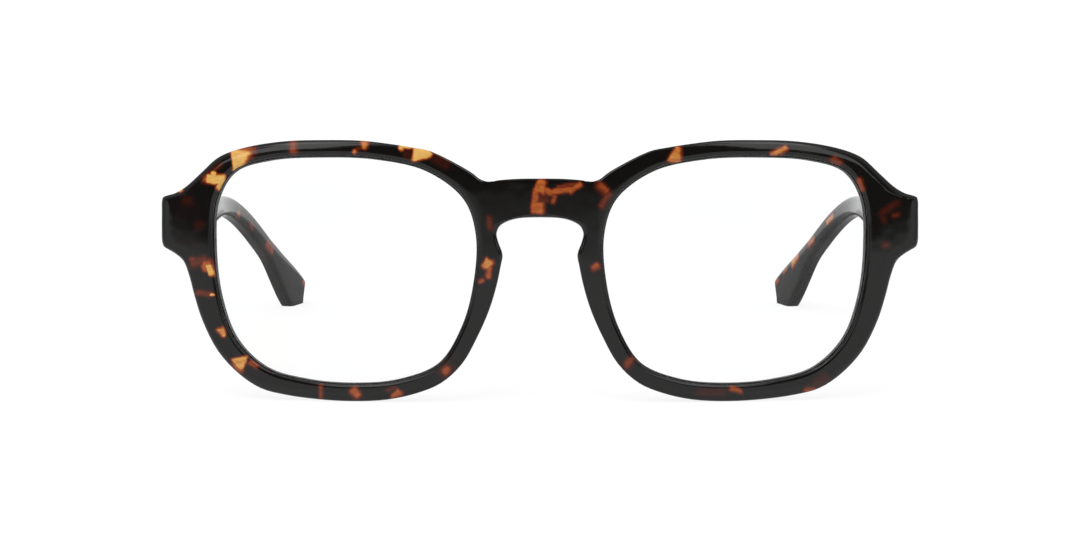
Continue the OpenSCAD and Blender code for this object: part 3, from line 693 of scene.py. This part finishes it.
def makeFlakeGroup():
    # one chip of colour in the sheet: blunt or tapered, crisper along one side than the other
    f = shellLook
    labels = ("Turn", "Long", "Wide", "Taper", "Crisp", "Fade", "Strength", "Deep")
    group, given, out = newGroup(
        "shellFlake", [("Place", "Vector"), ("Centre", "Vector")] + [(label, "Float") for label in labels],
        [("Glow", "Float")])
    turn, long, wide, taper, crisp, fade, strength, deep = [given.outputs[label] for label in labels]

    def calc(operation, a, b=None, clamp=False):
        return mathNode(group, operation, a, b, clamp)

    moved = vectorNode(group, "SUBTRACT", given.outputs["Place"], given.outputs["Centre"])
    turned = addNode(group, "VectorRotate", {"Vector": moved, "Angle": turn}, rotation_type="Y_AXIS")
    along, into, across = addNode(group, "SeparateXYZ", {0: turned.outputs[0]}).outputs
    narrow = calc("ADD", calc("MULTIPLY", calc("DIVIDE", along, long), taper), 1.0)
    width = calc("MULTIPLY", calc("MAXIMUM", narrow, 0.0), wide)
    square = None
    for place, half in ((along, long), (across, width), (into, deep)):
        past = calc("ADD", calc("SUBTRACT", calc("ABSOLUTE", place), half), f["chipCorner"])
        past = calc("MAXIMUM", past, 0.0)
        square = calc("MULTIPLY", past, past) if square is None else calc("ADD", square, calc("MULTIPLY", past, past))
    beyond = calc("SUBTRACT", calc("SQRT", square), f["chipCorner"])
    soft = rangeNode(group, calc("DIVIDE", across, wide), f["crispSide"], f["fadeSide"], crisp, fade)
    near = calc("SUBTRACT", 1.0, calc("DIVIDE", beyond, soft), clamp=True)
    # the colour runs out slowly at the last, which leaves a dark red seam
    group.links.new(calc("MULTIPLY", calc("POWER", near, f["seam"]), strength), out.inputs["Glow"])
    return group


def makeDriftGroup():
    # bends a place by a few tenths to two millimetres, so that flakes get ragged, pulled edges
    group, given, out = newGroup(
        "shellDrift", [("Place", "Vector"), ("Pull", "Float"), ("Fray", "Float")], [("Place", "Vector")])
    result = place = given.outputs["Place"]
    for label, size in (("Pull", shellLook["pullSize"]), ("Fray", shellLook["fraySize"])):
        noise = noiseNode(group, place, size, 2.0)
        centred = vectorNode(group, "SUBTRACT", noise.outputs["Color"], (0.5, 0.5, 0.5))
        sized = addNode(group, "VectorMath", {0: centred, "Scale": given.outputs[label]}, operation="SCALE")
        result = vectorNode(group, "ADD", result, sized.outputs[0])
    group.links.new(result, out.inputs["Place"])
    return group


def makePolishGroup():
    # the hand polish on acetate: faint clouds in the gloss and a very shallow ripple
    f = polishLook
    group, given, out = newGroup("handPolish", [("Place", "Vector"), ("Gloss", "Float"), ("Haze", "Float")],
                                 [("Roughness", "Float"), ("Height", "Float")])
    place = given.outputs["Place"]
    cloud = noiseNode(group, place, f["cloudSize"], 4.0, 0.6)
    rub = noiseNode(group, place, f["rubSize"], 3.0, 0.7)
    both = times(group, cloud.outputs["Fac"], rub.outputs["Fac"])
    haze = times(group, both, given.outputs["Haze"])
    group.links.new(mathNode(group, "ADD", haze, given.outputs["Gloss"]), out.inputs["Roughness"])
    ripple = noiseNode(group, place, f["rippleSize"], 1.0, 0.4)
    group.links.new(ripple.outputs["Fac"], out.inputs["Height"])
    return group


flakeGroup, driftGroup, polishGroup = makeFlakeGroup(), makeDriftGroup(), makePolishGroup()

# The chips on the front: across, up, turn, half length, half width, taper, softness of either side, strength
frontFlakes = [
    # left opening, over the top from the shoulder to the nose
    (-68.2, 15.0, 20, 0.3, 0.12, 0, 0.5, 0.54, 0.7), (-66.8, 13.2, 0, 0.6, 0.3, 0, 1, 1.44, 0.085),
    (-64.6, 8.7, 30, 0.5, 0.3, 0, 1, 1.44, 0.071), (-61.4, 17.2, -8, 1.5, 0.7, 0.1, 0.7, 0.82, 0.97),
    (-60.3, 16.2, 60, 1.0, 0.45, 0, 0.7, 0.9, 0.93), (-61.8, 18.1, 80, 0.5, 0.25, 0, 0.7, 0.5, 0.96),
    (-62.9, 17.3, 0, 0.5, 0.3, 0, 1.05, 1.32, 0.47), (-62.2, 18.6, 40, 2.34, 0.15, 0, 0.7, 0.82, 0.161),
    (-57.1, 20.5, 80, 2.0, 0.95, 0.6, 0.55, 1.5, 1), (-57.0, 22.9, 19, 1.84, 0.12, 0, 0.56, 0.49, 0.43),
    (-55.0, 22.4, 60, 0.74, 0.45, 0, 1, 1.49, 0.36), (-46.6, 23.1, 92, 0.84, 0.3, 0, 1, 1.32, 0.333),
    (-35.0, 22.3, 60, 0.3, 0.15, 0, 0.62, 0.84, 0.55), (-33.1, 23.5, 90, 0.55, 0.3, 0.6, 0.75, 1, 0.58),
    (-34.1, 22.9, 30, 0.74, 0.2, 0, 0.7, 0.82, 0.161), (-26.1, 23.2, 60, 0.4, 0.22, 0, 0.6, 0.8, 0.88),
    (-24.9, 23.4, -5, 1.3, 0.28, 0, 0.6, 0.6, 0.95), (-22.0, 21.9, -8, 1.6, 0.8, -0.7, 0.6, 0.8, 1),
    (-18.8, 21.2, -30, 1.74, 0.75, 0, 1, 1.44, 0.093), (-24.9, 22.2, 90, 0.84, 0.45, 0, 1, 1.44, 0.1),
    # down its outer side and along the bottom
    (-62.4, 0.0, 108, 0.85, 0.38, 0, 0.6, 1, 0.93), (-62.9, 0.7, 100, 0.64, 0.65, 0, 1.05, 1.49, 0.47),
    (-64.6, 1.6, 15, 1.34, 0.45, 0, 0.98, 1.32, 0.196), (-65.8, 2.1, 0, 0.25, 0.12, 0, 0.88, 0.96, 0.299),
    (-62.0, -4.7, 10, 0.35, 0.12, 0, 0.44, 0.48, 0.85), (-63.6, -4.5, -8, 1.44, 0.3, 0, 0.7, 0.82, 0.196),
    (-60.0, -11.8, -60, 0.75, 0.34, -0.65, 0.6, 0.9, 0.66), (-56.6, -17.7, 102, 0.95, 0.8, 0.7, 0.6, 0.7, 0.72),
    (-57.1, -18.3, -45, 0.94, 0.3, 0, 0.88, 1, 0.47), (-54.2, -17.8, -30, 0.84, 0.2, 0, 0.74, 0.82, 0.333),
    (-41.4, -22.9, 90, 1.24, 0.12, 0, 0.74, 1, 0.299), (-34.7, -23.1, -50, 0.84, 0.37, 0, 1.05, 1.15, 0.45),
    (-27.2, -23.4, 35, 0.84, 0.3, 0.5, 0.7, 1.15, 0.48), (-28.0, -22.4, 20, 0.84, 0.1, 0, 0.74, 0.66, 0.172),
    (-17.7, -18.8, 50, 0.5, 0.3, 0, 1, 1.32, 0.41), (-17.8, -18.8, 50, 1.14, 0.75, 0, 1, 1.44, 0.1),
    # bridge and nose
    (-9.9, 1.1, 55, 0.74, 0.55, 0.2, 0.7, 1, 0.64), (-9.6, -0.6, 85, 0.84, 0.22, 0, 0.74, 0.82, 0.43),
    (-11.0, -2.1, 10, 0.4, 0.15, 0, 0.74, 0.66, 0.391), (-9.5, 8.8, 95, 1.04, 0.22, 0, 0.88, 1, 0.172),
    (-0.6, 11.7, 90, 0.84, 0.95, 0, 0.7, 1.15, 0.49), (-0.9, 13.9, 82, 1.24, 0.31, 0, 0.7, 1.15, 0.43),
    (0.1, 15.8, 75, 1.04, 0.61, -0.3, 0.7, 1.15, 0.52), (0.7, 13.6, 0, 0.84, 0.75, 0, 0.88, 0.82, 0.149),
    (1.5, 14.9, -30, 0.94, 0.28, 0, 0.7, 1, 0.44), (4.2, 14.9, 5, 1.84, 0.3, 0, 0.7, 0.82, 0.46),
    (6.6, 15.4, 35, 1.24, 0.26, 0, 0.7, 0.82, 0.45), (5.2, 15.8, 8, 1.94, 0.13, 0, 0.74, 0.66, 0.276),
    (2.6, 13.3, 80, 0.64, 0.18, 0, 0.7, 0.82, 0.356), (11.9, 15.5, -45, 0.94, 0.28, 0, 0.88, 1.49, 0.356),
    (12.2, 13.2, 58, 1.44, 0.22, 0, 0.88, 1.15, 0.218), (10.4, 0.7, 30, 0.5, 0.22, 0, 0.75, 1.08, 0.42),
    # right opening
    (25.6, 21.7, 75, 1.34, 0.65, -0.7, 0.7, 1.15, 0.6), (45.0, 22.4, 25, 1.54, 0.27, 0.2, 0.7, 0.82, 0.6),
    (56.0, 20.5, -40, 0.74, 0.45, 0, 0.98, 1.32, 0.253), (60.6, 16.1, 100, 0.94, 0.26, 0, 0.88, 1, 0.356),
    (66.3, 11.9, 35, 1.6, 0.15, 0, 1, 1.32, 0.12), (65.0, 10.0, -70, 0.9, 0.12, 0, 1, 1.08, 0.11),
    (67.4, 10.4, 10, 0.5, 0.1, 0, 0.88, 0.96, 0.17), (65.4, 4.8, 0, 0.4, 0.15, 0, 1, 1.08, 0.15),
    (16.7, -17.3, 50, 0.84, 0.25, 0, 1, 1.32, 0.253), (36.9, -22.6, -20, 1, 0.18, -0.5, 0.74, 0.82, 0.4),
    (32.4, -22.9, 0, 2.34, 0.35, 0, 1, 1.44, 0.093), (51.0, -22.8, 10, 0.74, 0.3, 0, 1.05, 1.15, 0.36),
    (53.0, -21.0, 40, 1.34, 0.65, 0, 1, 1.44, 0.093)]
# on the temples' inner faces: along, up, and the same again, with the face's place across at the end
leftFlakes = [
    (28.0, 24.9, -20, 0.9, 0.3, 0, 1.0, 1.3, 0.50, 65.0), (37.0, 21.2, -35, 0.9, 0.3, 0, 1.2, 1.4, 0.26, 63.0),
    (47.0, 15.2, -35, 1.8, 0.45, 0, 1.2, 1.6, 0.36, 60.0), (66.5, 4.9, -30, 0.8, 0.8, 0, 0.8, 1.0, 0.50, 54.0)]
rightFlakes = [
    (36.0, 22.8, -28, 2.2, 0.25, 0, 0.8, 1.1, 0.66, -63.4), (46.5, 16.6, -35, 1.5, 0.45, 0, 1.0, 1.3, 0.50, -60.0),
    (55.5, 11.4, -40, 2.0, 0.55, 0.2, 0.9, 1.3, 0.66, -57.0), (61.0, 8.1, -35, 1.1, 0.25, 0, 0.8, 1.1, 0.42, -55.4),
    (65.5, 5.0, -35, 0.9, 0.2, 0, 0.9, 1.1, 0.46, -54.0)]


def driftNode(tree, place, look):
    values = {"Place": place, "Pull": look["pull"], "Fray": look["fray"]}
    return addNode(tree, "Group", values, node_tree=driftGroup).outputs[0]


def wildChips(tree, place, strength, shift):
    # chips strewn where the picture shows none
    f = wildLook
    moved = mapped(tree, driftNode(tree, place, f), f["size"], f["turn"], shift)
    chips = addNode(tree, "TexVoronoi", {"Vector": moved, "Scale": 1.0}, distance="CHEBYCHEV")
    some = addNode(tree, "SeparateColor", {0: chips.outputs["Color"]})
    chosen = rangeNode(tree, some.outputs[0], *f["chosen"], high=strength)
    fall = times(tree, chips.outputs["Distance"], f["fall"])
    return times(tree, mathNode(tree, "SUBTRACT", f["full"], fall, clamp=True), chosen)


def awayFromPicture(tree, place, curved):
    # where the strewn chips may show: behind the front's face, and off the part of a temple's inner face
    # that the picture shows
    f = wildLook
    along, depth, up = addNode(tree, "SeparateXYZ", {0: place}).outputs
    if curved:
        return rangeNode(tree, depth, *f["frontBehind"])
    bend = times(tree, times(tree, along, along), f["innerBend"])
    inner = mathNode(tree, "SUBTRACT", f["innerFace"], bend)
    past = mathNode(tree, "SUBTRACT", mathNode(tree, "ABSOLUTE", depth), inner)
    return mathNode(tree, "MAXIMUM", rangeNode(tree, past, *f["innerPast"]), rangeNode(tree, along, *f["innerHead"]))


def makeShell(name, flakes, toPlace, wild, curved=False):
    f = shellLook
    material, tree, shader, metres = newMaterial(name)
    # millimetres from here on
    place = local = mapped(tree, metres, (1000, 1000, 1000), *toPlace)
    if curved:
        # depth counts from the curved face
        flat = vectorNode(tree, "MULTIPLY", place, (1, 0, 1))
        square = vectorNode(tree, "DOT_PRODUCT", flat, flat, "Value")
        sag = addNode(tree, "CombineXYZ", {1: times(tree, square, 0.5 / standing["sheetRadius"])})
        place = vectorNode(tree, "SUBTRACT", place, sag.outputs[0])
    glow = wildChips(tree, place, *wild)
    if flakes:
        glow = times(tree, glow, awayFromPicture(tree, place, curved))
    drifted = driftNode(tree, place, f)
    for u, v, angle, long, wide, taper, crisp, fade, strength, *depth in flakes:
        flake = addNode(tree, "Group", {
            "Place": drifted, "Centre": (u, *(depth or [f["chipDepth"]]), v), "Turn": radians(angle),
            "Long": long, "Wide": wide, "Taper": taper, "Crisp": crisp, "Fade": fade, "Strength": strength,
            "Deep": f["chipDeep"]}, node_tree=flakeGroup)
        glow = mathNode(tree, "MAXIMUM", glow, flake.outputs["Glow"])
    streaks = mapped(tree, drifted, f["streakSize"], f["streakTurn"])
    streak = noiseNode(tree, streaks, 1.0, 4.0, 0.6)
    share = rangeNode(tree, streak.outputs["Fac"], *f["streakRange"], 1 - f["streak"] / 2, 1 + f["streak"] / 6)
    colour = rampNode(tree, times(tree, glow, share),
                      [(stop, shellColours[label]) for label, stop in shellStops.items()])
    cloud = noiseNode(tree, local, f["cloudSize"], 3.0, 0.55)
    clouded = rangeNode(tree, cloud.outputs["Fac"], *f["cloudRange"])
    tint = mixColours(tree, clouded, (0, 0, 0, 1), (*shellColours["cloud"], 1))
    polish = addNode(tree, "Group", {"Place": local, "Gloss": polishLook["gloss"], "Haze": polishLook["haze"]},
                     node_tree=polishGroup)
    bump = addNode(tree, "Bump", {"Height": polish.outputs["Height"], "Strength": polishLook["ripple"],
                                  "Distance": polishLook["rippleDeep"]})
    setInputs(tree, shader, {
        "Base Color": mixColours(tree, 1.0, colour, tint, "LIGHTEN"),
        "Roughness": polish.outputs["Roughness"], "Normal": bump.outputs[0], "IOR": f["refraction"]})
    return material


# A clear lens. The coating's tint drifts a little between cool and warm, and wiping leaves the faintest haze.
# The coating also leaves little reflection, so the refraction is set low.
lensLook = dict(cool=(0.978, 0.988, 0.996), warm=(0.993, 0.992, 0.986), drift=(0.3, 0.7), driftSize=45.0,
                wipeTurn=(0, 0.7, 0), wipeSize=(60, 60, 700), hazeRange=(0.4, 0.8), haze=0.03, refraction=1.27)


def makeLensMaterial():
    f = lensLook
    material, tree, shader, place = newMaterial("clearLens")
    drift = noiseNode(tree, place, f["driftSize"], 2.0)
    haze = noiseNode(tree, mapped(tree, place, f["wipeSize"], f["wipeTurn"]), 1.0, 4.0, 0.6)
    setInputs(tree, shader, {
        "Base Color": rampNode(tree, drift.outputs["Fac"], [*zip(f["drift"], (f["cool"], f["warm"]))]),
        "Roughness": rangeNode(tree, haze.outputs["Fac"], *f["hazeRange"], high=f["haze"]),
        "IOR": f["refraction"], "Transmission Weight": 1.0})
    return material


# The lens edge, ground matt, and given a dark grey as painted shade, so that it is lost against the dark groove
edgeShadeLook = dict(dark=(0.08, 0.08, 0.08), light=(0.2, 0.2, 0.2), grain=6000.0, roughness=0.45)


def makeEdgeMaterial():
    f = edgeShadeLook
    material, tree, shader, place = newMaterial("shadedGroundEdge")
    noise = noiseNode(tree, place, f["grain"], 2.0)
    # the dark grey tones are painted shade, with a fine grain in them
    tone = rampNode(tree, noise.outputs["Fac"], [(0.0, f["dark"]), (1.0, f["light"])])
    setInputs(tree, shader, {"Base Color": tone, "Roughness": f["roughness"]})
    return material


# Metals: colour, roughness and how fine the grain runs along each direction
metalLook = dict(darker=0.92, smoother=0.8, rougher=1.25, bump=0.08, bumpDeep=0.00005)
metals = dict(hingeMetal=((0.66, 0.645, 0.61), 0.24, (9000, 9000, 600)),
              screwSteel=((0.60, 0.60, 0.59), 0.2, (1800, 1800, 1800)),
              wireMetal=((0.62, 0.61, 0.58), 0.3, (4000, 300, 4000)))


def makeMetal(name):
    f = metalLook
    colour, roughness, grain = metals[name]
    material, tree, shader, place = newMaterial(name)
    noise = noiseNode(tree, mapped(tree, place, grain), 1.0, 5.0, 0.65).outputs["Fac"]
    bump = addNode(tree, "Bump", {"Height": noise, "Strength": f["bump"], "Distance": f["bumpDeep"]})
    setInputs(tree, shader, {
        "Base Color": mixColours(tree, noise, (*[c * f["darker"] for c in colour], 1), (*colour, 1)),
        "Roughness": rangeNode(tree, noise, 0.0, 1.0, roughness * f["smoother"], roughness * f["rougher"]),
        "Normal": bump.outputs[0], "Metallic": 1.0})
    return material


# The front's pattern is drawn on its leaning face, the others run along the temples. At the end: how strong the
# strewn chips are, and where their pattern starts.
ontoFace = ((lean, 0, 0), Matrix.Rotation(lean, 3, "X") @ Vector((0, -standing["frontY"], -standing["frontZ"])))
lengthwise = ((0, 0, -pi / 2), (0, 0, 0))
acetateFront = makeShell("tortoiseshellFront", frontFlakes, ontoFace, (0.95, (3.4, 0, 5.2)), curved=True)
acetateLeft = makeShell("tortoiseshellLeft", leftFlakes, lengthwise, (0.9, (1.5, 0.3, 0.4)))
acetateRight = makeShell("tortoiseshellRight", rightFlakes, lengthwise, (0.9, (3.1, 0.6, 0.7)))
acetatePad = makeShell("tortoiseshellPad", [], lengthwise, (0.6, (0.7, 0.3, 0.1)))
lensClear, lensEdgeShade = makeLensMaterial(), makeEdgeMaterial()
hingeMetal, screwSteel, wireMetal = [makeMetal(name) for name in metals]
print("materials made")

makeFront(acetateFront)
print("front made")
for word, side in sides.items():
    makeLens(word + "Lens", side, lensClear, lensEdgeShade)
    makePad(word + "NosePad", side, acetatePad)
    makeTemple(word + "Temple", side, acetateLeft if side < 0 else acetateRight)
    for node, metal in (("front_hinge_", hingeMetal), ("temple_hinge_", hingeMetal), ("hinge_screw_", screwSteel),
                        ("core_wire_", wireMetal)):
        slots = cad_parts[node + word].data.materials
        slots.clear()
        slots.append(metal)
    print(word, "side made")


# A pale table under a white room. The table glows, so that the camera and glass see it white, and to polished
# faces it shows a painted reflection, dark between the temples and light further out. They find the room lit low
# behind the camera and dark above.
studio = dict(
    floorSize=24.0, floorColour=(0.86, 0.86, 0.855), floorGlow=0.80, floorEven=(0.25, 0.9), floorWhite=1.08,
    glossCentre=(0, -0.05, 0), glossStep=(0.1, 0.135), glossNear=0.2, glossFar=0.95, glossRise=(0.2, 0.6),
    frontEdge=(-0.06, -0.09), frontShare=0.68,
    roomSoft=0.62, roomGloss=0.45, backdrop=(0.93, 0.99), backFrom=(-0.3, -0.7), backLow=0.70, backHigh=0.03,
    backEdge=(0.231, 0.243), edgeFall=0.225, edgeRise=0.3, fallTo=0.4, dimFrom=(0.12, 0.21), dimWide=(0.22, 0.06),
    dim=0.72)
lamps = dict(
    leftBox=dict(place=(-0.39, -0.86, 0.70), power=1.15, wide=0.26, high=0.8),
    rightBox=dict(place=(0.41, -0.86, 0.70), power=1.15, wide=0.32, high=0.8),
    leftTop=dict(place=(-0.30, -0.42, 1.05), power=0.75, wide=0.26, high=0.5, lights=("glossy",)),
    rightTop=dict(place=(0.30, -0.42, 1.05), power=0.75, wide=0.26, high=0.5, lights=("glossy",)),
    topSun=dict(place=(-0.5, -0.5, 1.6), power=0.95, spread=50, lights=("diffuse",)))


def seenDirectly(tree):
    # camera, glossy and transmission rays
    light = addNode(tree, "LightPath").outputs
    other = mathNode(tree, "MAXIMUM", light["Is Glossy Ray"], light["Is Transmission Ray"])
    return mathNode(tree, "MAXIMUM", light["Is Camera Ray"], other)


def mirrored(tree):
    # reflections alone: clear glass also marks what it lets through as glossy
    light = addNode(tree, "LightPath").outputs
    return mathNode(tree, "SUBTRACT", light["Is Glossy Ray"], light["Is Transmission Ray"], clamp=True)


def makeStage():
    f = studio
    bm = bmesh.new()
    bmesh.ops.create_grid(bm, x_segments=1, y_segments=1, size=f["floorSize"] / 2)
    table = meshObject(bm, "table")
    material, tree, shader, place = newMaterial("paleTable")
    setInputs(tree, shader, {"Base Color": (*f["floorColour"], 1), "Roughness": 0.9, "Specular IOR Level": 0.0})
    far = vectorNode(tree, "LENGTH", place, result="Value")
    even = rangeNode(tree, far, *f["floorEven"], low=f["floorGlow"])
    away = vectorNode(tree, "LENGTH", vectorNode(tree, "ADD", place, f["glossCentre"]), result="Value")
    step = rangeNode(tree, away, *f["glossStep"], f["glossNear"], f["glossFar"], interpolation_type="SMOOTHSTEP")
    rise = rangeNode(tree, far, *f["glossRise"], high=1 - f["glossFar"])
    # in front of the spectacles, where the room behind the camera takes over, the painted reflection is dimmer again
    forward = addNode(tree, "SeparateXYZ", {0: place}).outputs[1]
    ahead = rangeNode(tree, forward, *f["frontEdge"], 1.0, f["frontShare"])
    gloss = times(tree, mathNode(tree, "ADD", step, rise), ahead)
    # reflections alone see the painted reflection's level, everything else the even white glow
    level = mixValues(tree, mirrored(tree), f["floorWhite"], gloss)
    glow = addNode(tree, "Emission", {"Color": (1, 1, 1, 1), "Strength": level})
    share = times(tree, seenDirectly(tree), even)
    blend = addNode(tree, "MixShader", {0: share, 1: shader.outputs[0], 2: glow.outputs[0]})
    tree.links.new(blend.outputs[0], tree.nodes["Material Output"].inputs["Surface"])
    table.data.materials.append(material)


def makeRoom():
    f = studio
    world = bpy.data.worlds.new("room")
    scene.world = world
    world.use_nodes = True
    tree = world.node_tree
    tree.nodes.clear()
    sideways, ahead, up = addNode(tree, "SeparateXYZ", {0: addNode(tree, "TexCoord").outputs["Generated"]}).outputs
    behind = rangeNode(tree, ahead, *f["backFrom"])
    # the lit part behind the camera is lower to the sides and rises again beyond
    aside = mathNode(tree, "ABSOLUTE", sideways)
    near = mathNode(tree, "MINIMUM", aside, f["fallTo"])
    beyond = times(tree, mathNode(tree, "SUBTRACT", aside, near), f["edgeRise"])
    fall = mathNode(tree, "SUBTRACT", times(tree, near, f["edgeFall"]), beyond)
    lit = rangeNode(tree, mathNode(tree, "ADD", up, fall), *f["backEdge"], f["backLow"], f["backHigh"])
    # and its middle is dimmer
    middle = rangeNode(tree, aside, *f["dimWide"], high=f["dim"])
    raised = rangeNode(tree, up, *f["dimFrom"])
    dimmed = mathNode(tree, "SUBTRACT", 1.0, times(tree, middle, raised))
    drop = rangeNode(tree, ahead, *f["backdrop"], low=f["roomGloss"])
    glossy = mixValues(tree, behind, drop, times(tree, lit, dimmed))
    seen = mixValues(tree, mirrored(tree), 1.0, glossy)
    level = mixValues(tree, seenDirectly(tree), f["roomSoft"], seen)
    back = addNode(tree, "Background", {"Color": (1, 1, 1, 1), "Strength": level})
    out = addNode(tree, "OutputWorld")
    tree.links.new(back.outputs[0], out.inputs["Surface"])


def makeLamp(name, place, power, wide=None, high=None, spread=None, lights=("diffuse", "glossy")):
    data = bpy.data.lights.new(name, "AREA" if wide else "SUN")
    data.energy = power
    if wide:
        data.shape, data.size, data.size_y = "RECTANGLE", wide, high
    else:
        data.angle = radians(spread)
    lamp = newObject(name, data)
    lamp.location = place
    lamp.rotation_euler = (Vector((0, 0, 0.02)) - Vector(place)).to_track_quat("-Z", "Y").to_euler()
    lamp.visible_camera = False
    lamp.visible_diffuse, lamp.visible_glossy = "diffuse" in lights, "glossy" in lights


makeStage()
makeRoom()
for name, values in lamps.items():
    makeLamp(name, **values)
scene.view_settings.view_transform = "Standard"
print("stage and light made")
